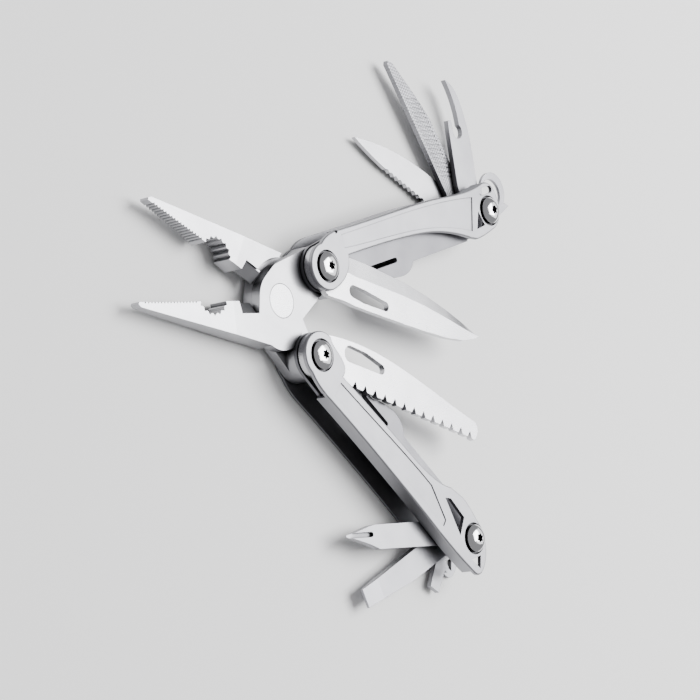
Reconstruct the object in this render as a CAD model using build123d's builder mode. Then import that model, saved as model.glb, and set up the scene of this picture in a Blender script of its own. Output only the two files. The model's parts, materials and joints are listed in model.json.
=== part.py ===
"""Folding multi tool: pliers on two hinged channel handles, with blades outside and small tools inside.

Units are millimetres and degrees. The tool lies flat on its far side, so every pivot is parallel to Z.
The model is laid out round the plier pin and moved at the end, so that the origin is the middle of the
overall box at its lowest face. "Side" is +1 for the knife handle and -1 for the saw handle, which is its
mirror image across the X axis. In a handle's own plane x runs from the front pivot to the rear one, and
positive y is the open side of the channel.
"""

import os
from math import atan2, cos, degrees, hypot, radians, sin

from build123d import *

os.makedirs("parts", exist_ok=True)

# ---------------------------------------------------------------- driving dimensions
plate_thickness = 1.2  # outer side plates of the handles
liner_thickness = 1.0  # inner wall between the channel and the outside blade
jaw_thickness = 6.5
blade_thickness = 1.9
side_gap = 0.15  # between the jaws and each wall of the channel
washer_thickness = 0.2
washer_play = 0.01
running_clearance = 0.04  # radial, every shaft in its hole
handle_pitch = 83.0  # front pivot to rear pivot
pivot_reach = 16.3  # plier pin to front pivot along the closed tool
pivot_offset = 9.33  # front pivot from the middle of the closed tool
handle_half_depth = 9.1  # pivot line to the open edge of a handle
handle_back = 7.3  # pivot line to the back of a handle
jaw_half_opening = 15.2  # each jaw from closed, as the tool stands
handle_flare = 13.0  # each handle from the middle line, with the jaws closed
boss_radius = 7.0
front_shaft_radius = 2.6
rear_shaft_radius = 2.2
screw_radius = 1.5
screw_depth = 5.0
head_radius = 4.15
head_ring = 0.7  # width of the dark ring round a domed head
front_head_height = 1.4
rear_head_height = 2.0
head_seat_depth = 0.8
far_head_depth = 0.7
plier_pin_radius = 5.0
hub_radius = 9.0
nose_clearance = 12.1  # jaw tip to the rear pivot when the tool is folded
nose_length = handle_pitch - pivot_reach - nose_clearance
nose_tip_thickness = 3.0
nose_taper_start = 20.0
jaw_bite = 0.05  # each gripping face from the middle line when closed
blade_rest = 1.5  # knife and saw from the tool's X axis, towards their own handle
wall = 0.9  # flange of the near plates
spine_thickness = 0.8
tool_hub_radius = 4.4
tool_clearance = 0.2  # stowed tool to the spine wall
panel_depth = 0.3

# ---------------------------------------------------------------- heights above the resting plane
jaw_bottom = plate_thickness + side_gap
jaw_top = jaw_bottom + jaw_thickness
jaw_middle = (jaw_bottom + jaw_top) / 2
liner_bottom = jaw_top + side_gap
liner_top = liner_bottom + liner_thickness
blade_bottom = liner_top + washer_thickness + 2 * washer_play
blade_top = blade_bottom + blade_thickness
near_bottom = blade_top + washer_thickness + 2 * washer_play
near_top = near_bottom + plate_thickness

# ---------------------------------------------------------------- places and angles as the tool stands
half_turn = 180.0
handle_angle = handle_flare + jaw_half_opening
pivot_radius = hypot(pivot_reach, pivot_offset)
pivot_angle = degrees(atan2(pivot_offset, pivot_reach)) + jaw_half_opening
pivot_x = pivot_radius * cos(radians(pivot_angle))
pivot_y = pivot_radius * sin(radians(pivot_angle))
fold_angle = half_turn - handle_flare
spine_inner = spine_thickness - handle_back
tool_back = spine_inner + tool_clearance
KNIFE = 1
SAW = -1


def turned_plane(x, y, angle, height):
    """A level plane at a point, with its x axis turned by angle from the tool's X axis."""
    return Plane(origin=(x, y, height), x_dir=(cos(radians(angle)), sin(radians(angle)), 0), z_dir=(0, 0, 1))


def jaw_plane(side, height):
    """The plane of one jaw, whose x axis is the middle line when the jaws are closed."""
    return turned_plane(0, 0, side * jaw_half_opening, height)


def handle_plane(side, height):
    """The plane of one handle, from its front pivot along the handle."""
    return turned_plane(pivot_x, side * pivot_y, side * handle_angle, height)


def blade_plane(side, height):
    """The plane of an outside blade, which swings on the front pivot."""
    return turned_plane(pivot_x, side * pivot_y, side * blade_rest, height)


def tool_plane(side, opened, height):
    """The plane of an inside tool: x runs along the tool, which lies forwards in the handle when stowed."""
    rear = handle_plane(side, height).from_local_coords(Vector(handle_pitch, 0, 0))
    return turned_plane(rear.X, rear.Y, side * (half_turn + handle_angle - opened), height)


def flipped(points, side):
    """The points of an outline with y towards the open side, for either handle."""
    return [(x, side * y) for x, y in points]


def outline(runs, side=1):
    """A closed face from runs of points: two make a line, three an arc, and more a smooth curve."""
    with BuildSketch() as shape:
        with BuildLine():
            for run in runs:
                points = flipped(run, side)
                if len(points) == 2:
                    Line(*points)
                elif len(points) == 3:
                    ThreePointArc(*points)
                else:
                    Spline(*points)
        make_face()
    return shape.sketch


def polygon(points, side=1):
    """A closed face with straight edges."""
    with BuildSketch() as shape:
        with BuildLine():
            Polyline(*flipped(points, side), close=True)
        make_face()
    return shape.sketch


def lowered(run, amount):
    """The same run moved towards the back of the handle."""
    return [(x, y - amount) for x, y in run]


def polar(radius, angle):
    """A point given by its distance and its direction."""
    return (radius * cos(radians(angle)), radius * sin(radians(angle)))


def finish(part, label):
    """Gives a piece its name and keeps it for the last step."""
    part.label = label
    pieces.append(part)


pieces = []

# ---------------------------------------------------------------- jaws and plier pin
recess_center = (-27.5, 1.6)
recess_radius = 5.0
recess_reach = 4.7
bump_center = (2.0, 4.2)
bump_radius = 7.0
bulge_center = (-1.0, -5.2)
bulge_radius = 9.0
nose_relief = 12.4  # the other jaw's hub and tang turn inside this radius
tang_relief = 14.6
tang_radius = 6.8
notch_depth = 3.5
cutter_start = -17.6
cutter_end = -10.2
cutter_half_width = 2.4
nose_runs = [
    [(-nose_length, -jaw_bite), (recess_center[0] - recess_reach, -jaw_bite)],
    [
        (recess_center[0] - recess_reach, -jaw_bite),
        (recess_center[0], recess_center[1] - recess_radius),
        (recess_center[0] + recess_reach, -jaw_bite),
    ],
    [(recess_center[0] + recess_reach, -jaw_bite), (cutter_start, -jaw_bite)],
    [(cutter_start, -jaw_bite), (cutter_start + 0.8, -notch_depth)],
    [(cutter_start + 0.8, -notch_depth), (-8.0, -notch_depth)],
    [(-8.0, -notch_depth), (-5.0, -12.9)],
    [(-5.0, -12.9), (-13.5, -10.9), (-33.0, -6.4), (-nose_length + 0.6, -1.5)],
    [(-nose_length + 0.6, -1.5), (-nose_length - 0.3, -0.7)],
    [(-nose_length - 0.3, -0.7), (-nose_length, -jaw_bite)],
]
fine_tooth_start = -nose_length + 1.6
fine_tooth_pitch = 1.15
fine_tooth_depth = 0.55
fine_tooth_margin = 1.2  # plain strip between the fine teeth and the round recess
fine_tooth_room = recess_center[0] - recess_reach - fine_tooth_margin - fine_tooth_start
fine_teeth = int(fine_tooth_room / fine_tooth_pitch)
coarse_tooth_start = 209.0
coarse_tooth_step = 20.5
coarse_tooth_depth = 0.95
coarse_teeth = 7
stop_radius = 9.6
stop_angle = -33.0  # where the spine's lip meets the tang, in the handle's plane
stop_gap = 1.0
stop_width = 42.0


def make_jaw(side):
    """One jaw with its tang. The knife handle's tang carries the lower nose and the near half of the hub."""
    own_bottom = jaw_middle + washer_play if side == KNIFE else jaw_bottom
    other_bottom = jaw_bottom if side == KNIFE else jaw_middle - washer_play
    own_depth = jaw_thickness / 2 - washer_play
    other_depth = jaw_thickness / 2 + washer_play
    pivot = flipped([(pivot_reach, pivot_offset)], side)[0]
    with BuildPart() as jaw:
        # hub, cheek, tang and nose fill the jaw's own half of the thickness
        with BuildSketch(jaw_plane(side, own_bottom)):
            with BuildSketch(mode=Mode.PRIVATE) as tang:
                Circle(hub_radius)
                with Locations(flipped([bump_center], side)[0]):
                    Circle(bump_radius)
                with Locations(pivot):
                    Circle(tang_radius)
                make_hull()
            with BuildSketch(mode=Mode.PRIVATE) as cheek:
                Circle(hub_radius)
                with Locations(flipped([bulge_center], side)[0]):
                    Circle(bulge_radius)
                make_hull()
            add(tang.sketch)
            add(cheek.sketch)
            add(outline(nose_runs, side))
        extrude(amount=own_depth)
        # only the nose and the boss fill the other half
        with BuildSketch(jaw_plane(side, other_bottom)):
            add(outline(nose_runs, side))
            Circle(nose_relief, mode=Mode.SUBTRACT)
        extrude(amount=other_depth)
        with BuildSketch(jaw_plane(side, other_bottom)):
            with Locations(pivot):
                Circle(tang_radius)
            Circle(tang_relief, mode=Mode.SUBTRACT)
        extrude(amount=other_depth)
        # a shoulder that the spine's lip rests on while the pliers are in use
        with BuildSketch(handle_plane(side, jaw_bottom)):
            first = stop_angle - stop_gap - stop_width
            last = stop_angle - stop_gap
            arc_angles = (first, (first + last) / 2, last)
            corners = flipped([polar(stop_radius, angle) for angle in arc_angles], side)
            with BuildLine():
                Line((0, 0), corners[0])
                ThreePointArc(*corners)
                Line(corners[2], (0, 0))
            make_face()
        extrude(amount=jaw_thickness)
        # the nose thins towards its tip on both faces
        along = jaw_plane(side, 0)
        side_view = Plane(origin=(0, 0, jaw_middle), x_dir=along.x_dir, z_dir=-along.y_dir)
        thick = jaw_thickness / 2
        with BuildSketch(side_view):
            for face in (1, -1):
                with BuildLine():
                    Polyline(
                        (-nose_taper_start, face * thick),
                        (-nose_length - 1, face * nose_tip_thickness / 2),
                        (-nose_length - 1, face * (thick + 1)),
                        (-nose_taper_start, face * (thick + 1)),
                        close=True,
                    )
                make_face()
        extrude(amount=hub_radius * 2, both=True, mode=Mode.SUBTRACT)
        # gripping teeth: fine at the tip, coarse in the round recess
        with BuildSketch(jaw_plane(side, jaw_bottom - 1)):
            for tooth in range(fine_teeth):
                x = fine_tooth_start + tooth * fine_tooth_pitch
                root = (x + fine_tooth_pitch / 2, -fine_tooth_depth)
                corners = [(x, 0.2), (x + fine_tooth_pitch, 0.2), root]
                add(polygon(corners, side))
            for tooth in range(coarse_teeth):
                angle = coarse_tooth_start + tooth * coarse_tooth_step
                x, y = polar(recess_radius, angle)
                with Locations(flipped([(recess_center[0] + x, recess_center[1] + y)], side)[0]):
                    Rectangle(coarse_tooth_depth, coarse_tooth_depth, rotation=side * (angle + 45))
        extrude(amount=jaw_thickness + 2, mode=Mode.SUBTRACT)
        # wire cutter: a sharp ridge that stands up from the floor of the notch
        ridge_view = Plane(
            origin=jaw_plane(side, jaw_middle).from_local_coords(Vector(cutter_end, 0, 0)),
            x_dir=side * jaw_plane(side, 0).y_dir,
            z_dir=-jaw_plane(side, 0).x_dir,
        )
        with BuildSketch(ridge_view):
            with BuildLine():
                Polyline(
                    (-notch_depth - 0.5, cutter_half_width),
                    (-notch_depth, cutter_half_width),
                    (-jaw_bite - 0.1, 0.15),
                    (-jaw_bite - 0.1, -0.15),
                    (-notch_depth, -cutter_half_width),
                    (-notch_depth - 0.5, -cutter_half_width),
                    close=True,
                )
            make_face()
        extrude(amount=cutter_end - cutter_start)
        # holes for the plier pin and the pivot barrel
        with BuildSketch(jaw_plane(side, 0)):
            Circle(plier_pin_radius + running_clearance)
            with Locations(pivot):
                Circle(front_shaft_radius + running_clearance)
        extrude(amount=near_top, mode=Mode.SUBTRACT)
    return jaw.part


finish(make_jaw(KNIFE), "near_jaw")
finish(make_jaw(SAW), "far_jaw")

with BuildPart() as plier_pin:
    with BuildSketch(Plane.XY.offset(jaw_bottom)):
        Circle(plier_pin_radius)
    extrude(amount=jaw_thickness)
    chamfer(plier_pin.faces().filter_by(Axis.Z).edges(), 0.15)
finish(plier_pin.part, "plier_pin")

# ---------------------------------------------------------------- pivots: a barrel and a domed screw each
socket_lobe_radius = 0.42
socket_lobe_circle = 1.0
socket_core_radius = 1.05
socket_depth = 1.2
barrel_wall_play = 0.02


def make_barrel(side, x, shaft_radius, label):
    """A shouldered barrel whose low head is sunk in the far plate, drilled for the screw."""
    floor = far_head_depth
    with BuildPart() as barrel:
        with BuildSketch(handle_plane(side, 0)):
            with Locations((x, 0)):
                Circle(head_radius)
        extrude(amount=floor - barrel_wall_play)
        chamfer(barrel.faces().sort_by(Axis.Z)[0].edges(), 0.35)
        with BuildSketch(handle_plane(side, 0)):
            with Locations((x, 0)):
                Circle(shaft_radius)
        extrude(amount=near_top - head_seat_depth - barrel_wall_play)
        with BuildSketch(handle_plane(side, near_bottom - screw_depth)):
            with Locations((x, 0)):
                Circle(screw_radius + barrel_wall_play)
        extrude(amount=near_top, mode=Mode.SUBTRACT)
        with BuildSketch(handle_plane(side, 0)):
            with Locations((x, 0)):
                with PolarLocations(socket_lobe_circle, 6):
                    Circle(socket_lobe_radius)
                Circle(socket_core_radius)
        extrude(amount=far_head_depth - 0.2, mode=Mode.SUBTRACT)
    finish(barrel.part, label)


def make_screw(side, x, head_height, label):
    """A screw with a domed head and a six-lobe socket."""
    base = near_top - head_seat_depth + barrel_wall_play
    top = near_top + head_height
    rim = near_top + head_height * 0.35
    axis = handle_plane(side, 0).from_local_coords(Vector(x, 0, 0))
    upright = Plane(origin=(axis.X, axis.Y, 0), x_dir=(1, 0, 0), z_dir=(0, -1, 0))
    with BuildPart() as screw:
        with BuildSketch(upright):
            with BuildLine():
                Line((0, base - screw_depth), (screw_radius, base - screw_depth))
                Line((screw_radius, base - screw_depth), (screw_radius, base))
                Line((screw_radius, base), (head_radius, base))
                Line((head_radius, base), (head_radius, rim))
                ThreePointArc((head_radius, rim), (head_radius * 0.72, top - head_height * 0.17), (0, top))
                Line((0, top), (0, base - screw_depth))
            make_face()
        revolve(axis=Axis((axis.X, axis.Y, 0), (0, 0, 1)))
        with BuildSketch(handle_plane(side, top - socket_depth)):
            with Locations((x, 0)):
                with PolarLocations(socket_lobe_circle, 6):
                    Circle(socket_lobe_radius)
                Circle(socket_core_radius)
        extrude(amount=socket_depth + 1, mode=Mode.SUBTRACT)
    finish(screw.part, label)


for side, name in ((KNIFE, "knife_handle"), (SAW, "saw_handle")):
    make_barrel(side, 0, front_shaft_radius, f"{name}_front_barrel")
    make_barrel(side, handle_pitch, rear_shaft_radius, f"{name}_rear_barrel")
    make_screw(side, 0, front_head_height, f"{name}_front_screw")
    make_screw(side, handle_pitch, rear_head_height, f"{name}_rear_screw")

# ---------------------------------------------------------------- handle plates
open_edge = handle_half_depth
back_edge = -handle_back
rear = handle_pitch
front_arc = [(0, -boss_radius), (-boss_radius, 0), (0, boss_radius)]
knife_shoulder = [(0, boss_radius), (2.8, open_edge - 0.7), (5.5, open_edge - 0.1), (8.6, open_edge)]
knife_open = [
    (8.6, open_edge),
    (rear - 43, open_edge),
    (rear - 25, open_edge - 0.3),
    (rear - 11, open_edge - 1.1),
    (rear, open_edge - 0.1),
]
knife_rear = [
    (rear, open_edge - 0.1),
    (rear + 4.2, open_edge - 1.5),
    (rear + 6.0, 2.5),
    (rear + 4.6, -3.0),
    (rear + 1, back_edge + 1.5),
]
knife_heel = [
    (rear + 1, back_edge + 1.5),
    (rear - 4, back_edge + 0.5),
    (rear - 7, back_edge + 0.1),
    (rear - 9.5, back_edge),
]
knife_arch = [
    (rear - 12.5, back_edge + 0.9),
    (rear - 21, -3.1),
    (rear - 31, -0.7),
    (rear - 43, 0.5),
    (18, 1.1),
    (10.5, 1.1),
]
saw_shoulder = [(0, boss_radius), (2.8, open_edge - 1.2), (5.5, open_edge - 0.8), (8.6, open_edge - 0.7)]
saw_open = [
    (8.6, open_edge - 0.7),
    (rear - 43, open_edge - 0.9),
    (rear - 23, open_edge - 0.5),
    (rear - 3, open_edge),
    (rear + 5, open_edge - 0.4),
]
saw_rear = [
    (rear + 5, open_edge - 0.4),
    (rear + 8.4, open_edge - 2.1),
    (rear + 8.6, 4.0),
    (rear + 5.4, -2.2),
    (rear + 1, back_edge + 2.1),
]
saw_heel = [
    (rear + 1, back_edge + 2.1),
    (rear - 4, back_edge + 1.1),
    (rear - 7, back_edge + 0.5),
    (rear - 11, back_edge + 0.2),
]
saw_arch = [
    (rear - 17, back_edge + 1.3),
    (rear - 23, -3.6),
    (rear - 31, -2.4),
    (rear - 43, -2.0),
    (18, -1.4),
    (10.5, -1.0),
]
knife_panel = [
    [
        (9.4, open_edge - 1.6),
        (rear - 43, open_edge - 1.4),
        (rear - 21, open_edge - 2.0),
        (rear - 7, open_edge - 3.4),
    ],
    [(rear - 7, open_edge - 3.4), (rear - 11.2, -4.4)],
    [(rear - 11.2, -4.4), (rear - 21, -1.4), (rear - 33, 0.9), (rear - 53, 2.4), (9.4, 3.4)],
    [(9.4, 3.4), (9.4, open_edge - 1.6)],
]
saw_panel = [
    [
        (10.5, open_edge - 2.9),
        (rear - 43, open_edge - 3.4),
        (rear - 23, open_edge - 3.1),
        (rear - 13.5, open_edge - 2.8),
    ],
    [(rear - 13.5, open_edge - 2.8), (rear - 13.7, 4.0)],
    [(rear - 13.7, 4.0), (rear - 24.5, -0.5)],
    [(rear - 24.5, -0.5), (rear - 33, -0.5), (rear - 53, 0.3), (10.5, 1.2)],
    [(10.5, 1.2), (10.5, open_edge - 2.9)],
]
outer_round = 0.5
notch_x = 7.2
liner_play = 0.1
window_radius = 0.9


def handle_runs(shoulder, opening, rear_run, heel, lower):
    """The whole outline of a plate: an arched lower edge shows the blade, a straight one hides it."""
    if lower:
        bottom = [[heel[-1], lower[0]], lower]
        throat = [lower[-1], (lower[-1][0] - 1.0, lower[-1][1] - 3.0), (5.6, -5.4), (0, -boss_radius)]
    else:
        bottom = [[heel[-1], (rear - 13, back_edge)], [(rear - 13, back_edge), (10.5, back_edge)]]
        throat = [(10.5, back_edge), (0, -boss_radius)]
    return [shoulder, opening, rear_run, heel, *bottom, throat, front_arc]


def flange_runs(opening):
    """The strip that the bent edge of a near plate covers."""
    inner = lowered(opening, wall)
    return [opening, [opening[-1], inner[-1]], inner[::-1], [inner[0], opening[0]]]


knife_rear_vent = [(rear - 5.8, 0.9), (rear - 8.6, -4.3), (rear - 4.1, -3.9)]
saw_fin_window = [(rear - 17.6, -1.4), (rear - 5.8, 3.6), (rear - 7.4, -2.2), (rear - 15.5, -2.9)]
lanyard_hole = [(rear + 2.3, 6.3), (rear + 7.2, 5.8), (rear + 5.1, 2.4)]


def make_near_plate(side, runs, opening, panel, label):
    """The outer plate of the near side: bent over the open edge, with a shallow panel and windows."""
    with BuildPart() as plate:
        with BuildSketch(handle_plane(side, near_bottom)):
            add(outline(runs, side))
        extrude(amount=plate_thickness)
        fillet(plate.faces().sort_by(Axis.Z)[-1].edges(), outer_round)
        with BuildSketch(handle_plane(side, liner_bottom)):
            add(outline(flange_runs(opening), side))
        extrude(amount=near_bottom - liner_bottom)
        with BuildSketch(handle_plane(side, near_top - panel_depth)):
            add(outline(panel, side))
        extrude(amount=plate_thickness, mode=Mode.SUBTRACT)
        with BuildSketch(handle_plane(side, near_top - head_seat_depth)):
            with Locations((0, 0), (rear, 0)):
                Circle(head_radius + head_ring)
        extrude(amount=plate_thickness, mode=Mode.SUBTRACT)
        with BuildSketch(handle_plane(side, near_bottom)):
            Circle(front_shaft_radius + running_clearance)
            with Locations((rear, 0)):
                Circle(rear_shaft_radius + running_clearance)
            with Locations(flipped([(notch_x, open_edge + 0.4)], side)[0]):
                Rectangle(1.1, 2.6, rotation=side * 20)
            if side == KNIFE:
                with Locations((rear + 0.6, 6.4)):
                    SlotOverall(7.0, 2 * window_radius + 0.5)
                add(polygon(knife_rear_vent, side))
            else:
                add(polygon(saw_fin_window, side))
                add(polygon(lanyard_hole, side))
        extrude(amount=plate_thickness, mode=Mode.SUBTRACT)
    finish(plate.part, label)


def make_far_plate(side, runs, panel, label):
    """The outer plate of the far side, flat outside, with seats for the barrels' heads."""
    with BuildPart() as plate:
        with BuildSketch(handle_plane(side, 0)):
            add(outline(runs, side))
        extrude(amount=plate_thickness)
        fillet(plate.faces().sort_by(Axis.Z)[0].edges(), outer_round)
        with BuildSketch(handle_plane(side, 0)):
            add(outline(panel, side))
        extrude(amount=panel_depth, mode=Mode.SUBTRACT)
        with BuildSketch(handle_plane(side, 0)):
            with Locations((0, 0), (rear, 0)):
                Circle(head_radius + 2 * running_clearance)
        extrude(amount=far_head_depth, mode=Mode.SUBTRACT)
        with BuildSketch(handle_plane(side, 0)):
            Circle(front_shaft_radius + running_clearance)
            with Locations((rear, 0)):
                Circle(rear_shaft_radius + running_clearance)
            if side == SAW:
                add(polygon(lanyard_hole, side))
        extrude(amount=plate_thickness, mode=Mode.SUBTRACT)
    finish(plate.part, label)


knife_far_runs = handle_runs(knife_shoulder, knife_open, knife_rear, knife_heel, None)
saw_far_runs = handle_runs(saw_shoulder, saw_open, saw_rear, saw_heel, None)
make_near_plate(
    KNIFE,
    handle_runs(knife_shoulder, knife_open, knife_rear, knife_heel, knife_arch),
    knife_open,
    knife_panel,
    "knife_handle_near_plate",
)
make_near_plate(
    SAW,
    handle_runs(saw_shoulder, saw_open, saw_rear, saw_heel, saw_arch),
    saw_open,
    saw_panel,
    "saw_handle_near_plate",
)
make_far_plate(KNIFE, knife_far_runs, knife_panel, "knife_handle_far_plate")
make_far_plate(SAW, saw_far_runs, saw_panel, "saw_handle_far_plate")

# ---------------------------------------------------------------- liner locks and spines
lock_tab = [(43.5, back_edge), (41.5, back_edge - 2.0), (30.0, back_edge - 1.8), (26.5, back_edge)]
lock_slot_length = 14.0
lock_slot_width = 1.5


def make_liner(side, opening, label):
    """The channel's near wall, whose sprung arm locks the open blade and ends in a thumb tab."""
    edge = lowered(opening[:-1], wall + liner_play)
    edge = edge + [(rear - 1, edge[-1][1])]
    runs = [
        [(0, boss_radius), edge[0]],
        edge,
        [edge[-1], (rear + 4.6, 2.0), (rear + 1, -5.0)],
        [(rear + 1, -5.0), (rear - 13, back_edge + 0.1)],
        [(rear - 13, back_edge + 0.1), lock_tab[0]],
        lock_tab,
        [lock_tab[-1], (6, back_edge)],
        [(6, back_edge), (0, -boss_radius)],
        front_arc,
    ]
    with BuildPart() as liner:
        with BuildSketch(handle_plane(side, liner_bottom)):
            add(outline(runs, side))
            Circle(front_shaft_radius + running_clearance, mode=Mode.SUBTRACT)
            with Locations((rear, 0)):
                Circle(rear_shaft_radius + running_clearance, mode=Mode.SUBTRACT)
            with Locations(flipped([(29, -5.2)], side)[0]):
                SlotOverall(lock_slot_length, lock_slot_width, mode=Mode.SUBTRACT)
            if side == SAW:
                add(polygon(lanyard_hole, side), mode=Mode.SUBTRACT)
        extrude(amount=liner_thickness)
    finish(liner.part, label)


def make_spine(side, label):
    """The channel's back wall, with a lip in front that rests on the tang's shoulder."""
    lip_inner = 9.1
    lip = [
        polar(lip_inner, stop_angle + 0.5),
        polar(lip_inner, stop_angle + 3.5),
        (11.6, spine_inner),
        (rear - 9, spine_inner),
        (rear - 9, back_edge),
        (11.0, back_edge),
    ]
    with BuildPart() as spine:
        with BuildSketch(handle_plane(side, plate_thickness)):
            add(polygon(lip, side))
        extrude(amount=liner_bottom - plate_thickness)
    finish(spine.part, label)


make_liner(KNIFE, knife_open, "knife_handle_liner_lock")
make_liner(SAW, saw_open, "saw_handle_liner_lock")
make_spine(KNIFE, "knife_handle_spine")
make_spine(SAW, "saw_handle_spine")

# ---------------------------------------------------------------- outside blades
blade_hub_radius = 6.6
edge_thickness = 0.3
# each station: distance from the pivot, back, start of the bevel, cutting edge
knife_stations = [
    (9.5, -7.9, 1.0, 5.9),
    (14, -8.3, 0.5, 5.9),
    (20, -8.4, 0.45, 5.75),
    (rear - 46, -8.5, 0.0, 4.5),
    (rear - 36, -8.4, -0.7, 3.0),
    (rear - 26, -8.0, -2.0, 0.9),
    (rear - 18, -7.0, -3.2, -1.3),
    (rear - 13, -5.4, -3.8, -2.9),
    (rear - 10.4, -4.1, -3.9, -3.8),
]
knife_tang = [(0, -blade_hub_radius), (2.5, -8.0), (9.6, -7.9), (9.6, 1.0), (8.0, 5.4), (0, blade_hub_radius)]
# the ends of the saw's toothed edge
saw_heel_corner = (11.0, 4.9)
saw_toe = (rear - 12.6, 6.3)
saw_runs = [
    [(0, -blade_hub_radius), (6.0, -7.5), (10.4, -7.9), (28.4, -7.4), (rear - 23, -1.5), (rear - 10, 1.0)],
    [(rear - 10, 1.0), (rear - 8.8, 3.8), (rear - 10.1, 6.7)],
    [(rear - 10.1, 6.7), saw_toe],
    [saw_toe, saw_heel_corner],
    [saw_heel_corner, (6.0, 5.6), (0, blade_hub_radius)],
    [(0, blade_hub_radius), (-blade_hub_radius, 0), (0, -blade_hub_radius)],
]
saw_tooth_pitch = 4.5
saw_tooth_depth = 1.9
saw_gullet = 2.3
saw_first_tooth = 16.5
saw_teeth = round((saw_toe[0] - saw_first_tooth) / saw_tooth_pitch) + 1
saw_edge_slope = (saw_toe[1] - saw_heel_corner[1]) / (saw_toe[0] - saw_heel_corner[0])


# thumb holes, wide near the pivot and narrow at the far end: x, y and radius of each circle they wrap
knife_thumb_hole = [(13.1, -4.1, 1.85), (18.0, -4.55, 2.05), (27.7, -5.2, 1.4)]
saw_thumb_hole = [(13.3, -4.25, 2.45), (20.0, -4.15, 2.3), (27.4, -3.4, 1.5)]


def tapered_hole(circles, side):
    """The outline stretched round a row of circles, on the blade's own plane."""
    with BuildSketch() as hole:
        for x, y, radius in circles:
            with Locations(flipped([(x, y)], side)[0]):
                Circle(radius)
        make_hull()
    return hole.sketch


def blade_body(stations, plane, side, thickness, edge):
    """A ruled blade through cross-sections: flat sides to the bevel, which thins to the cutting edge."""
    half = thickness / 2
    with BuildPart() as body:
        for x, back, bevel, sharp in stations:
            center = plane.from_local_coords(Vector(x, 0, half))
            with BuildSketch(Plane(origin=center, x_dir=side * plane.y_dir, z_dir=side * plane.x_dir)):
                with BuildLine():
                    Polyline(
                        (back, -half),
                        (bevel, -half),
                        (sharp, -edge / 2),
                        (sharp, edge / 2),
                        (bevel, half),
                        (back, half),
                        close=True,
                    )
                make_face()
        loft(ruled=True)
    return body.part


with BuildPart() as knife:
    add(blade_body(knife_stations, blade_plane(KNIFE, blade_bottom), KNIFE, blade_thickness, edge_thickness))
    with BuildSketch(blade_plane(KNIFE, blade_bottom)):
        Circle(blade_hub_radius)
        add(polygon(knife_tang))
    extrude(amount=blade_thickness)
    with BuildSketch(blade_plane(KNIFE, blade_bottom)):
        Circle(front_shaft_radius + running_clearance)
        add(tapered_hole(knife_thumb_hole, KNIFE))
    extrude(amount=blade_thickness, mode=Mode.SUBTRACT)
finish(knife.part, "knife_blade")

with BuildPart() as saw:
    with BuildSketch(blade_plane(SAW, blade_bottom)):
        add(outline(saw_runs, SAW))
        Circle(front_shaft_radius + running_clearance, mode=Mode.SUBTRACT)
        add(tapered_hole(saw_thumb_hole, SAW), mode=Mode.SUBTRACT)
        for tooth in range(saw_teeth):
            x = saw_first_tooth + tooth * saw_tooth_pitch
            root = saw_heel_corner[1] + (x - saw_heel_corner[0]) * saw_edge_slope
            gullet = [
                (x - saw_gullet / 2, root + 0.3),
                (x + saw_gullet / 2, root + 0.3),
                (x, root - saw_tooth_depth),
            ]
            add(polygon(gullet, SAW), mode=Mode.SUBTRACT)
    extrude(amount=blade_thickness)
finish(saw.part, "saw_blade")


def make_washers(side, label):
    """Two thin washers, one on each face of an outside blade."""
    with BuildPart() as washers:
        for height in (liner_top + washer_play, blade_top + washer_play):
            with BuildSketch(handle_plane(side, height)):
                Circle(front_shaft_radius + 2.2)
                Circle(front_shaft_radius + running_clearance, mode=Mode.SUBTRACT)
            extrude(amount=washer_thickness)
    finish(washers.part, label)


make_washers(KNIFE, "knife_blade_washers")
make_washers(SAW, "saw_blade_washers")

# ---------------------------------------------------------------- inside tools, in order from the far plate
channel_depth = liner_bottom - plate_thickness
tool_gap = 0.22  # between neighbouring tools on a rear barrel


def filled(thicknesses):
    """The given tool thicknesses and one more that takes up what the channel leaves."""
    gaps = tool_gap * (len(thicknesses) + 2)
    return thicknesses + [channel_depth - gaps - sum(thicknesses)]


knife_tool_thicknesses = filled([1.4, 1.6, 1.7])
saw_tool_thicknesses = filled([1.5, 2.0])


def stack_heights(thicknesses):
    """The lowest height of each tool, shared out evenly through the channel."""
    gap = (channel_depth - sum(thicknesses)) / (len(thicknesses) + 1)
    return [plate_thickness + gap * (i + 1) + sum(thicknesses[:i]) for i in range(len(thicknesses))]


knife_tool_heights = stack_heights(knife_tool_thicknesses)
saw_tool_heights = stack_heights(saw_tool_thicknesses)


def make_tool_washers(side, thicknesses, heights, label):
    """The thin washers that keep the inside tools apart on the rear barrel."""
    tops = [plate_thickness] + [height + depth for height, depth in zip(heights, thicknesses)]
    bottoms = heights + [liner_bottom]
    with BuildPart() as washers:
        for low, high in zip(tops, bottoms):
            with BuildSketch(handle_plane(side, low + washer_play)):
                with Locations((rear, 0)):
                    Circle(rear_shaft_radius + 1.4)
                    Circle(rear_shaft_radius + running_clearance, mode=Mode.SUBTRACT)
            extrude(amount=high - low - 2 * washer_play)
    finish(washers.part, label)


make_tool_washers(KNIFE, knife_tool_thicknesses, knife_tool_heights, "knife_handle_tool_washers")
make_tool_washers(SAW, saw_tool_thicknesses, saw_tool_heights, "saw_handle_tool_washers")

# outlines of the inside tools: x along the tool from the rear pivot, y towards the open side
small_knife_opened = 41.5
file_opened = 74.0
opener_opened = 99.5
phillips_opened = 41.5
wide_driver_opened = 64.0
small_driver_opened = 100.0
small_knife_length = 55.0
file_length = 57.0
opener_length = 43.0
phillips_length = 52.5
wide_driver_length = 46.0
small_driver_length = 17.0
hub_arc = [(0, tool_hub_radius), (-tool_hub_radius, 0), (0, -tool_hub_radius)]


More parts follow.
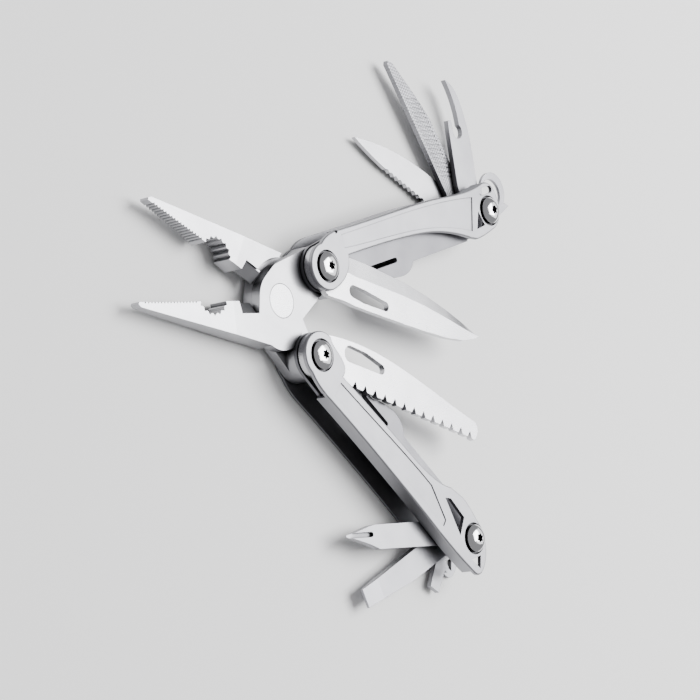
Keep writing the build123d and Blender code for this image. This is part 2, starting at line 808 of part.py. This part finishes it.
def neck(top_point, bottom_point):
    """The round hub of an inside tool and the shoulders that lead to its first two points."""
    return [[bottom_point, (0, -tool_hub_radius)], hub_arc[::-1], [(0, tool_hub_radius), top_point]]


small_knife_runs = [
    [(6.5, 3.3), (22, 3.1), (34, 2.0), (46, -0.8), (small_knife_length, -4.0)],
    [(small_knife_length, -4.0), (46, tool_back + 0.9), (30, tool_back + 0.2), (9, tool_back)],
    *neck((6.5, 3.3), (9, tool_back)),
]
file_runs = [
    [(6.5, 2.0), (33, 1.7)],
    [(33, 1.7), (39, 0.6), (46, -1.2), (file_length - 1.5, -3.9)],
    [(file_length - 1.5, -3.9), (file_length, tool_back + 0.8)],
    [(file_length, tool_back + 0.8), (file_length - 0.8, tool_back)],
    [(file_length - 0.8, tool_back), (5.5, tool_back)],
    *neck((6.5, 2.0), (5.5, tool_back)),
]
opener_runs = [
    [(4.5, 3.9), (18, 3.9)],
    [(18, 3.9), (26, 3.6), (33, 2.3), (39, 0.2), (opener_length, -4.4)],
    [(opener_length, -4.4), (38.5, -2.4), (34, -1.2), (28.5, -0.7)],
    [(28.5, -0.7), (24.2, -2.3), (27.5, -4.2)],
    [(27.5, -4.2), (30.2, -4.6)],
    [(30.2, -4.6), (30.0, tool_back + 0.2)],
    [(30.0, tool_back + 0.2), (27, tool_back)],
    [(27, tool_back), (9, tool_back)],
    *neck((4.5, 3.9), (9, tool_back)),
]
phillips_runs = [
    [(6, 1.2), (39, 0.9)],
    [(39, 0.9), (44, -0.9), (48, -2.0), (phillips_length, -3.2)],
    [(phillips_length, -3.2), (phillips_length, -3.8)],
    [(phillips_length, -3.8), (48, -4.7), (44, tool_back + 0.6), (39, tool_back)],
    [(39, tool_back), (5.5, tool_back)],
    *neck((6, 1.2), (5.5, tool_back)),
]
wide_driver_runs = [
    [(6, 1.8), (24, 1.8)],
    [(24, 1.8), (30, 1.2), (38, 0.4), (wide_driver_length, -0.1)],
    [(wide_driver_length, -0.1), (wide_driver_length, tool_back + 0.3)],
    [(wide_driver_length, tool_back + 0.3), (5.5, tool_back)],
    *neck((6, 1.8), (5.5, tool_back)),
]
# the small driver is waisted, so that the cord hole stays open beside it
small_driver_runs = [
    [(3.4, 3.0), (6.0, 0.6)],
    [(6.0, 0.6), (7.0, 0.6)],
    [(7.0, 0.6), (7.5, 2.6)],
    [(7.5, 2.6), (9.5, 2.6)],
    [(9.5, 2.6), (9.5, 1.4)],
    [(9.5, 1.4), (small_driver_length, 1.4)],
    [(small_driver_length, 1.4), (small_driver_length, -2.8)],
    [(small_driver_length, -2.8), (4.5, -3.6)],
    *neck((3.4, 3.0), (4.5, -3.6)),
]


def tool_blank(side, opened, height, thickness, runs):
    """A flat inside tool on its rear pivot."""
    with BuildPart() as tool:
        with BuildSketch(tool_plane(side, opened, height)):
            add(outline(runs, -side))
            Circle(rear_shaft_radius + running_clearance, mode=Mode.SUBTRACT)
        extrude(amount=thickness)
    return tool.part


serration_pitch = 2.2
serration_depth = 0.8
with BuildPart() as small_knife:
    thickness = knife_tool_thicknesses[0]
    plane = tool_plane(KNIFE, small_knife_opened, knife_tool_heights[0])
    add(tool_blank(KNIFE, small_knife_opened, knife_tool_heights[0], thickness, small_knife_runs))
    with BuildSketch(plane):
        for scallop in range(12):
            with Locations((14.0 + scallop * serration_pitch, -tool_back + 0.35)):
                Circle(serration_depth + 0.3)
    extrude(amount=thickness, mode=Mode.SUBTRACT)
finish(small_knife.part, "small_knife")

file_tooth_pitch = 1.6
file_tooth_depth = 0.15
file_cut_angle = 62.0
with BuildPart() as file_tool:
    thickness = knife_tool_thicknesses[1]
    add(tool_blank(KNIFE, file_opened, knife_tool_heights[1], thickness, file_runs))
    with BuildSketch(tool_plane(KNIFE, file_opened, knife_tool_heights[1] + thickness - file_tooth_depth)):
        for tooth in range(18):
            with Locations((15.0 + tooth * file_tooth_pitch, -tool_back / 2 - 0.8)):
                Rectangle(0.5, 6.4, rotation=file_cut_angle - 90)
    extrude(amount=thickness, mode=Mode.SUBTRACT)
finish(file_tool.part, "file")

finish(
    tool_blank(KNIFE, opener_opened, knife_tool_heights[2], knife_tool_thicknesses[2], opener_runs),
    "opener",
)

flute_width = 1.5
with BuildPart() as phillips:
    thickness = saw_tool_thicknesses[2]
    add(tool_blank(SAW, phillips_opened, saw_tool_heights[2], thickness, phillips_runs))
    for height in (saw_tool_heights[2] - thickness * 0.6, saw_tool_heights[2] + thickness * 0.6):
        with BuildSketch(tool_plane(SAW, phillips_opened, height)):
            with Locations((phillips_length - 4, -3.5)):
                SlotOverall(14.0, flute_width)
        extrude(amount=thickness, mode=Mode.SUBTRACT)
finish(phillips.part, "phillips_driver")

driver_tip_thickness = 0.8
driver_grind = 7.0
with BuildPart() as wide_driver:
    thickness = saw_tool_thicknesses[1]
    add(tool_blank(SAW, wide_driver_opened, saw_tool_heights[1], thickness, wide_driver_runs))
    plane = tool_plane(SAW, wide_driver_opened, saw_tool_heights[1] + thickness / 2)
    with BuildSketch(Plane(origin=plane.origin, x_dir=plane.x_dir, z_dir=-plane.y_dir)):
        for face in (1, -1):
            start = (wide_driver_length - driver_grind, face * thickness / 2)
            tip = (wide_driver_length + 0.1, face * driver_tip_thickness / 2)
            corner = (wide_driver_length + 0.1, face * (thickness / 2 + 0.1))
            shoulder = (wide_driver_length - driver_grind, face * (thickness / 2 + 0.1))
            add(polygon([start, tip, corner, shoulder]))
    extrude(amount=handle_half_depth, both=True, mode=Mode.SUBTRACT)
finish(wide_driver.part, "wide_driver")

finish(
    tool_blank(SAW, small_driver_opened, saw_tool_heights[0], saw_tool_thicknesses[0], small_driver_runs),
    "small_driver",
)

# the ring lies nearest the liner and stands out behind the handle on a short neck
ring_center = (rear + 10.9, 5.0)
ring_outer = 6.2
eye_center = (rear + 9.7, 4.4)
eye_radius = 4.8
ring_neck = [(rear, tool_hub_radius), (rear + 6.2, 9.0), (rear + 9.3, -0.9), (rear, -tool_hub_radius)]
ring_tab = [
    (rear + 15.6, 0.3),
    (rear + 17.4, -1.05),
    (rear + 12.0, -2.8),
    (rear + 6.4, -3.6),
    (rear + 7.0, 0),
]
with BuildPart() as lanyard_ring:
    with BuildSketch(handle_plane(KNIFE, knife_tool_heights[3])):
        with Locations(ring_center):
            Circle(ring_outer)
        with Locations((rear, 0)):
            Circle(tool_hub_radius)
        add(polygon(ring_neck))
        add(polygon(ring_tab))
        with Locations(eye_center):
            Circle(eye_radius, mode=Mode.SUBTRACT)
        with Locations((rear, 0)):
            Circle(rear_shaft_radius + running_clearance, mode=Mode.SUBTRACT)
    extrude(amount=knife_tool_thicknesses[3])
finish(lanyard_ring.part, "lanyard_ring")

# ---------------------------------------------------------------- origin: the overall box, lowest face
boxes = [piece.bounding_box() for piece in pieces]
middle_x = (min(box.min.X for box in boxes) + max(box.max.X for box in boxes)) / 2
middle_y = (min(box.min.Y for box in boxes) + max(box.max.Y for box in boxes)) / 2
lowest = min(box.min.Z for box in boxes)
print("pivot pin at", round(-middle_x, 4), round(-middle_y, 4), round(-lowest, 4))
for piece in pieces:
    placed = piece.moved(Location((-middle_x, -middle_y, -lowest)))
    placed.label = piece.label
    export_step(placed, f"parts/{piece.label}.step")
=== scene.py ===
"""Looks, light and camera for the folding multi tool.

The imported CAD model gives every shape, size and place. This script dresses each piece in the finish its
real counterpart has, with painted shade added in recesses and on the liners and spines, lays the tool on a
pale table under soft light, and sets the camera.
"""

import json
import logging
import math
from dataclasses import dataclass
from enum import Enum

import bpy
from mathutils import Matrix, Vector


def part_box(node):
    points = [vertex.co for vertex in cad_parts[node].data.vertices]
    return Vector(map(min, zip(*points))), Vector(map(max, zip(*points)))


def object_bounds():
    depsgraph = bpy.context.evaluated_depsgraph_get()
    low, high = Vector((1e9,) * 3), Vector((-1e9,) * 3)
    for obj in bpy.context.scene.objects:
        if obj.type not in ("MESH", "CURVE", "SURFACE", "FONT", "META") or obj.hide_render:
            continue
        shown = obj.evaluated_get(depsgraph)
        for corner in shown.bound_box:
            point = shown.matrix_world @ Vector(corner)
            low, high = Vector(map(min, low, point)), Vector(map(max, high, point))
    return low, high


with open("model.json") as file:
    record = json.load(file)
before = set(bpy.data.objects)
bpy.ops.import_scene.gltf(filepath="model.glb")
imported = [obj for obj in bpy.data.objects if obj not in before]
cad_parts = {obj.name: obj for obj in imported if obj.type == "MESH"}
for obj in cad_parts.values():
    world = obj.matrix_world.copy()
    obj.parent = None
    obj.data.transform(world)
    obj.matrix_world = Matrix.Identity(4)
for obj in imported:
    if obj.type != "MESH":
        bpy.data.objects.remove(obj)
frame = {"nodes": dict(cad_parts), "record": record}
CAD_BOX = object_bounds()
MILLIMETRE = 0.001
# near black of the painted shade in seams, seats and channels
RECESS_PAINTED_SHADE = "#1B1B1C"
# how far the ambient occlusion looks for close surfaces when it paints the recess shade
RECESS_REACH_MM = 2.2
PATCH_MM = 9
BROKEN_EDGE_MM = 0.12
GROUND_MARK_STRETCH = 24.0
FILE_CUT_ANGLES = (55, -65)
# a wave texture of this scale repeats once for each unit of length
ONE_WAVE_PER_MARK = 0.314
log = logging.getLogger("multi_tool")


class Grain(Enum):
    """How a steel surface was worked, which decides the pattern that its finish shows."""

    BLASTED = "blasted"
    GROUND = "ground"
    POLISHED = "polished"
    CROSS_CUT = "cross cut"


def linear_colour(hex_code: str) -> tuple[float, float, float, float]:
    """Turns an sRGB hex colour into the linear colour that a shader takes.

    Args:
        hex_code: Six hex digits with a leading hash.

    Returns:
        Linear red, green and blue, and an alpha of one.
    """
    channels = [int(hex_code[start : start + 2], 16) / 255 for start in (1, 3, 5)]
    linear = [c / 12.92 if c <= 0.04045 else ((c + 0.055) / 1.055) ** 2.4 for c in channels]
    return (*linear, 1.0)


def add_node(
    tree: bpy.types.NodeTree,
    kind: str,
    settings: dict[str, object] | None = None,
    values: dict[str, object] | None = None,
    links: dict[str, bpy.types.NodeSocket] | None = None,
) -> bpy.types.Node:
    """Adds one shader node.

    Args:
        tree: The node tree that gets the node.
        kind: The node's Blender type name.
        settings: Properties of the node itself.
        values: Fixed values, by input name.
        links: Output sockets to join, by input name.

    Returns:
        The new node.
    """
    node = tree.nodes.new(kind)
    for name, value in (settings or {}).items():
        setattr(node, name, value)
    for name, value in (values or {}).items():
        node.inputs[name].default_value = value
    for name, socket in (links or {}).items():
        tree.links.new(socket, node.inputs[name])
    return node


@dataclass(frozen=True)
class SteelFinish:
    """One worked steel surface: its colour, its gloss and the marks that the working left.

    Attributes:
        name: The material's common name and how its surface was made.
        light: The paler of its two colours, as sRGB hex.
        dark: The darker of its two colours, as sRGB hex.
        roughness: Its mean roughness.
        spread: How far the roughness varies to either side of the mean.
        grain: How the surface was worked.
        mark_mm: The width of one mark.
        depth_mm: The depth of one mark.
        run_angle: The direction of the marks, in degrees from the X axis.
    """

    name: str
    light: str
    dark: str
    roughness: float
    spread: float
    grain: Grain
    mark_mm: float
    depth_mm: float
    run_angle: float = 0.0

    def stretch(self) -> float:
        """How many times longer than wide a mark is."""
        return GROUND_MARK_STRETCH if self.grain is Grain.GROUND else 1.0

    def marks(self, tree: bpy.types.NodeTree) -> bpy.types.NodeSocket:
        """Draws the marks of the working.

        Args:
            tree: The material's node tree.

        Returns:
            A height between zero and one.
        """
        place = add_node(tree, "ShaderNodeTexCoord")
        turned = add_node(
            tree,
            "ShaderNodeVectorRotate",
            {"rotation_type": "Z_AXIS"},
            {"Angle": -math.radians(self.run_angle)},
            {"Vector": place.outputs["Object"]},
        )
        per_mark = 1 / (self.mark_mm * MILLIMETRE)
        scale = (per_mark / self.stretch(), per_mark, per_mark)
        scaled = add_node(
            tree,
            "ShaderNodeMapping",
            None,
            {"Scale": scale},
            {"Vector": turned.outputs["Vector"]},
        )
        if self.grain is Grain.CROSS_CUT:
            return self.crossed_cuts(tree, scaled.outputs["Vector"])
        noise = add_node(
            tree,
            "ShaderNodeTexNoise",
            None,
            {"Scale": 1.0, "Detail": 3.0, "Roughness": 0.6},
            {"Vector": scaled.outputs["Vector"]},
        )
        return noise.outputs["Fac"]

    def crossed_cuts(self, tree: bpy.types.NodeTree, place: bpy.types.NodeSocket) -> bpy.types.NodeSocket:
        """Draws a file's two sets of parallel cuts.

        Args:
            tree: The material's node tree.
            place: The place on the surface, counted in marks.

        Returns:
            A height between zero and one.
        """
        cuts = []
        for angle in FILE_CUT_ANGLES:
            turned = add_node(
                tree,
                "ShaderNodeVectorRotate",
                {"rotation_type": "Z_AXIS"},
                {"Angle": math.radians(angle)},
                {"Vector": place},
            )
            wave = add_node(
                tree,
                "ShaderNodeTexWave",
                {"wave_profile": "TRI"},
                {"Scale": ONE_WAVE_PER_MARK},
                {"Vector": turned.outputs["Vector"]},
            )
            cuts.append(wave.outputs["Fac"])
        both = add_node(tree, "ShaderNodeMath", {"operation": "MULTIPLY"})
        for socket, cut in zip(both.inputs, cuts):
            tree.links.new(cut, socket)
        return both.outputs["Value"]

    def paint_recess_shade(self, tree: bpy.types.NodeTree, colour: bpy.types.NodeSocket) -> bpy.types.NodeSocket:
        """Paints shade into seams, seats and channels: the colour goes towards a near black where the ambient
        occlusion finds close surfaces.

        Args:
            tree: The material's node tree.
            colour: The steel's colour before the painted shade.

        Returns:
            The colour with painted shade in its recesses.
        """
        openness = add_node(
            tree,
            "ShaderNodeAmbientOcclusion",
            {"samples": 8},
            {"Distance": RECESS_REACH_MM * MILLIMETRE},
        )
        unshaded_share = add_node(
            tree,
            "ShaderNodeMapRange",
            None,
            {"From Min": 0.3, "From Max": 0.85},
            {"Value": openness.outputs["AO"]},
        )
        mixed = add_node(tree, "ShaderNodeMix", {"data_type": "RGBA"})
        mixed.inputs[6].default_value = linear_colour(RECESS_PAINTED_SHADE)
        tree.links.new(colour, mixed.inputs[7])
        tree.links.new(unshaded_share.outputs["Result"], mixed.inputs[0])
        return mixed.outputs[2]

    def build(self) -> bpy.types.Material:
        """Makes the material.

        Returns:
            The new material.
        """
        material = bpy.data.materials.new(self.name)
        material.use_nodes = True
        tree = material.node_tree
        tree.nodes.clear()
        height = self.marks(tree)
        place = add_node(tree, "ShaderNodeTexCoord")
        # handling leaves patches about a centimetre across that are a little brighter or duller
        patches = add_node(
            tree,
            "ShaderNodeTexNoise",
            None,
            {"Scale": 1 / (PATCH_MM * MILLIMETRE), "Detail": 2.0},
            {"Vector": place.outputs["Object"]},
        )
        mixed = add_node(tree, "ShaderNodeMix", {"data_type": "RGBA"})
        mixed.inputs[6].default_value = linear_colour(self.dark)
        mixed.inputs[7].default_value = linear_colour(self.light)
        tree.links.new(patches.outputs["Fac"], mixed.inputs[0])
        # painted shade: the colour darkens in recesses that the ambient occlusion finds
        colour_with_painted_shade = self.paint_recess_shade(tree, mixed.outputs[2])
        gloss = add_node(
            tree,
            "ShaderNodeMapRange",
            None,
            {"To Min": self.roughness - self.spread, "To Max": self.roughness + self.spread},
            {"Value": height},
        )
        # every real edge is broken by a tenth of a millimetre or so, which catches the light
        edge = add_node(tree, "ShaderNodeBevel", {"samples": 4}, {"Radius": BROKEN_EDGE_MM * MILLIMETRE})
        bump = add_node(
            tree,
            "ShaderNodeBump",
            None,
            {"Strength": 0.6, "Distance": self.depth_mm * MILLIMETRE},
            {"Height": height, "Normal": edge.outputs["Normal"]},
        )
        shader = add_node(
            tree,
            "ShaderNodeBsdfPrincipled",
            None,
            {"Metallic": 1.0},
            {
                "Base Color": colour_with_painted_shade,
                "Roughness": gloss.outputs["Result"],
                "Normal": bump.outputs["Normal"],
            },
        )
        add_node(tree, "ShaderNodeOutputMaterial", None, None, {"Surface": shader.outputs["BSDF"]})
        return material


def joint_place(name: str) -> Vector:
    """The axis position of a joint at rest, in metres."""
    joints = frame["record"]["behaviour"]["joints"]
    return next(Vector(joint["pos_m"]) for joint in joints if joint["name"] == name)


def run_of(start: str, end: str) -> float:
    """The direction from one joint to another seen from above, in degrees."""
    step = joint_place(end) - joint_place(start)
    return math.degrees(math.atan2(step.y, step.x))


def dress(node: str, finish: SteelFinish) -> None:
    """Gives a CAD piece its finish.

    Args:
        node: The piece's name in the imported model.
        finish: The finish it takes.
    """
    piece = frame["nodes"][node]
    material = bpy.data.materials.get(finish.name) or finish.build()
    if not piece.material_slots:
        piece.data.materials.append(None)
    for slot in piece.material_slots:
        slot.link = "OBJECT"
        slot.material = material
    log.info("%s: %s", node, finish.name)


# domed screw heads, turned and then polished: they mirror the softbox as one bright patch
POLISHED_STEEL = SteelFinish(
    name="polished stainless steel",
    light="#DADADC",
    dark="#C8C8CB",
    roughness=0.12,
    spread=0.03,
    grain=Grain.POLISHED,
    mark_mm=0.5,
    depth_mm=0.002,
)
# cheek and nose of the pliers, belt ground to a satin: a soft sheen, with faint marks along the middle line
SATIN_STEEL = SteelFinish(
    name="satin ground stainless steel",
    light="#B3B3B6",
    dark="#98989C",
    roughness=0.32,
    spread=0.06,
    grain=Grain.GROUND,
    mark_mm=0.25,
    depth_mm=0.004,
)
# phosphor bronze washers, stamped and tumbled: a warm dull gleam at the pivots
WASHER_BRONZE = SteelFinish(
    name="tumbled phosphor bronze",
    light="#B08A5A",
    dark="#8F6C44",
    roughness=0.4,
    spread=0.05,
    grain=Grain.BLASTED,
    mark_mm=0.3,
    depth_mm=0.004,
)


@dataclass
class PlierHead:
    """The two jaws and the pin that joins them."""

    jaws: tuple[str, ...] = ("near_jaw", "far_jaw")
    pin: str = "plier_pin"

    def build(self) -> None:
        """Dresses the jaws in satin steel and the pin in a slightly finer satin."""
        for jaw in self.jaws:
            dress(jaw, SATIN_STEEL)
        # the pin's end is faced on a lathe: finer marks than the jaw round it
        faced = SteelFinish(
            name="faced stainless steel",
            light="#C4C4C7",
            dark="#AEAEB2",
            roughness=0.28,
            spread=0.05,
            grain=Grain.BLASTED,
            mark_mm=0.2,
            depth_mm=0.003,
        )
        dress(self.pin, faced)


@dataclass
class Handle:
    """One channel handle with its plates, liner, spine and pivots."""

    name: str
    front_joint: str
    rear_joint: str
    plate_light: str = "#A3A3A7"
    plate_dark: str = "#8D8D91"

    def build(self) -> None:
        """Dresses every fixed piece of the handle."""
        # side plates, blasted with fine glass bead: an even grey with no direction
        plate = SteelFinish(
            name="bead-blasted stainless sheet",
            light=self.plate_light,
            dark=self.plate_dark,
            roughness=0.46,
            spread=0.05,
            grain=Grain.BLASTED,
            mark_mm=0.18,
            depth_mm=0.006,
        )
        # liner and spine, spring steel brushed along the handle: streaked, and given a darker colour as
        # painted shade for the inside of the channel
        spring = SteelFinish(
            name=f"{self.name} brushed spring steel in painted shade",
            # this darker colour is painted shade, standing in for the shade inside the channel
            light="#7C7C80",
            dark="#626266",
            roughness=0.36,
            spread=0.07,
            grain=Grain.GROUND,
            mark_mm=0.22,
            depth_mm=0.005,
            run_angle=run_of(self.front_joint, self.rear_joint),
        )
        for plate_name in ("near_plate", "far_plate"):
            dress(f"{self.name}_{plate_name}", plate)
        for spring_name in ("liner_lock", "spine"):
            dress(f"{self.name}_{spring_name}", spring)
        for end in ("front", "rear"):
            dress(f"{self.name}_{end}_barrel", POLISHED_STEEL)
            dress(f"{self.name}_{end}_screw", POLISHED_STEEL)
        dress(f"{self.name}_tool_washers", WASHER_BRONZE)


@dataclass
class OutsideBlades:
    """The knife and the saw that swing on the front pivots."""

    blades: tuple[str, ...] = ("knife_blade", "saw_blade")

    def build(self) -> None:
        """Dresses both blades and their washers."""
        # blade steel, surface ground: paler than the plates and jaws, with faint marks close to lengthwise
        finish = SteelFinish(
            name="satin ground blade steel",
            light="#D0D0D3",
            dark="#B9B9BD",
            roughness=0.27,
            spread=0.05,
            grain=Grain.GROUND,
            mark_mm=0.2,
            depth_mm=0.003,
        )
        for blade in self.blades:
            dress(blade, finish)
            dress(f"{blade}_washers", WASHER_BRONZE)


@dataclass
class InsideTools:
    """The small tools and the lanyard ring that swing on the rear pivots."""

    drivers: tuple[str, ...] = ("opener", "lanyard_ring", "phillips_driver", "wide_driver", "small_driver")
    file_tooth_mm: float = 0.9

    def build(self) -> None:
        """Dresses each inside tool."""
        # tool steel, ground and tumbled: greyer and a little duller than the blades
        plain = SteelFinish(
            name="tumbled tool steel",
            light="#A2A2A6",
            dark="#85858A",
            roughness=0.36,
            spread=0.06,
            grain=Grain.BLASTED,
            mark_mm=0.25,
            depth_mm=0.005,
        )
        for tool in self.drivers:
            dress(tool, plain)
        fine = SteelFinish(
            name="fine ground tool steel",
            light="#C2C2C5",
            dark="#A9A9AD",
            roughness=0.3,
            spread=0.05,
            grain=Grain.BLASTED,
            mark_mm=0.2,
            depth_mm=0.003,
        )
        dress("small_knife", fine)
        # a file's crossed cuts, drawn coarse so that they show, and set out from the handle's direction
        cut = SteelFinish(
            name="cross-cut file steel",
            light="#98989C",
            dark="#6E6E72",
            roughness=0.42,
            spread=0.08,
            grain=Grain.CROSS_CUT,
            mark_mm=self.file_tooth_mm,
            depth_mm=0.12,
            run_angle=run_of("knife_handle_fold", "file_swing"),
        )
        dress("file", cut)


@dataclass
class Studio:
    """The pale table, the soft lights and the camera.

    Attributes:
        azimuth: The camera's direction round the tool, in degrees.
        elevation: The camera's height above the horizon, in degrees.
        roll: The camera's turn about its own axis, in degrees.
        aim_from_pin: The point looked at, from the plier pin, in metres.
        distance: Camera to that point, in metres.
        lens_mm: Focal length on a 36 mm sensor.
        table_size: Side of the square table, in metres.
    """

    azimuth: float = 290.856
    elevation: float = 39.921
    roll: float = 79.76
    aim_from_pin: tuple[float, float] = (0.02486, -0.00885)
    distance: float = 0.6568
    lens_mm: float = 117.27
    table_size: float = 8.0

    def aim(self) -> Vector:
        """Works out the point looked at, on the near plates' outer face.

        Returns:
            The point, in metres.
        """
        low, high = (Vector(corner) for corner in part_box("plier_pin"))
        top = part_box("knife_handle_near_plate")[1][2]
        middle = (low + high) / 2
        return Vector((middle.x + self.aim_from_pin[0], middle.y + self.aim_from_pin[1], top))

    def back(self) -> Vector:
        """Works out the direction from the point looked at to the camera.

        Returns:
            The direction, one metre long.
        """
        turn = math.radians(self.azimuth)
        rise = math.radians(self.elevation)
        return Vector((math.sin(turn) * math.cos(rise), -math.cos(turn) * math.cos(rise), math.sin(rise)))

    def place_camera(self) -> None:
        """Sets the scene's camera, turned about its own axis by the roll."""
        back = self.back()
        level = Vector((math.cos(math.radians(self.azimuth)), math.sin(math.radians(self.azimuth)), 0))
        rise = back.cross(level)
        roll = math.radians(self.roll)
        right = level * math.cos(roll) + rise * math.sin(roll)
        up = back.cross(right)
        data = bpy.data.cameras.new("camera")
        data.sensor_width = 36.0
        data.lens = self.lens_mm
        data.clip_start = 0.01
        data.clip_end = 50.0
        camera = bpy.data.objects.new("camera", data)
        turn = Matrix((right, up, back)).transposed().to_4x4()
        camera.matrix_world = Matrix.Translation(self.aim() + back * self.distance) @ turn
        bpy.context.collection.objects.link(camera)
        bpy.context.scene.camera = camera

    def lay_table(self) -> None:
        """Makes the plain pale table that the tool lies on."""
        half = self.table_size / 2
        height = CAD_BOX[0].z
        outline = [(-half, -half), (half, -half), (half, half), (-half, half)]
        corners = [(x, y, height) for x, y in outline]
        mesh = bpy.data.meshes.new("table")
        mesh.from_pydata(corners, [], [(0, 1, 2, 3)])
        table = bpy.data.objects.new("table", mesh)
        bpy.context.collection.objects.link(table)
        # matt white laminate: hardly any gloss, so that it shows only soft shade
        material = bpy.data.materials.new("matt white laminate")
        material.use_nodes = True
        shader = material.node_tree.nodes["Principled BSDF"]
        shader.inputs["Base Color"].default_value = linear_colour("#FAFAFA")
        shader.inputs["Roughness"].default_value = 0.9
        shader.inputs["Specular IOR Level"].default_value = 0.1
        mesh.materials.append(material)

    def add_softbox(self, name: str, towards: Vector, reach: float, size: float, power: float) -> None:
        """Hangs one square softbox that faces the tool.

        Args:
            name: The light's name.
            towards: Direction from the tool to the light.
            reach: Distance from the tool, in metres.
            size: Side of the square, in metres.
            power: Power in watts.
        """
        data = bpy.data.lights.new(name, "AREA")
        data.size = size
        data.energy = power
        light = bpy.data.objects.new(name, data)
        light.location = self.aim() + towards.normalized() * reach
        light.rotation_mode = "QUATERNION"
        light.rotation_quaternion = towards.normalized().to_track_quat("Z", "Y")
        bpy.context.collection.objects.link(light)

    def light(self) -> None:
        """Lights the tool: a large softbox mirrored by the flat faces, a top light and a pale room."""
        back = self.back()
        mirrored = Vector((-back.x, -back.y, back.z))
        overhead = Vector((0.5, 0.3, 1))
        self.add_softbox("mirrored_softbox", mirrored, reach=1.1, size=0.9, power=5.5)
        self.add_softbox("top_softbox", overhead, reach=1.3, size=0.9, power=30)
        world = bpy.data.worlds.new("pale room")
        world.use_nodes = True
        room = world.node_tree.nodes["Background"]
        room.inputs["Color"].default_value = linear_colour("#F2F2F4")
        room.inputs["Strength"].default_value = 0.45
        bpy.context.scene.world = world

    def build(self) -> None:
        """Sets up the table, lights and camera."""
        self.lay_table()
        self.light()
        self.place_camera()


def main() -> None:
    """Builds the tool's looks and the studio."""
    logging.basicConfig(level=logging.INFO)
    PlierHead().build()
    Handle("knife_handle", "knife_handle_fold", "small_knife_swing").build()
    Handle("saw_handle", "saw_handle_fold", "phillips_driver_swing").build()
    OutsideBlades().build()
    InsideTools().build()
    Studio().build()


if __name__ == "__main__":
    main()
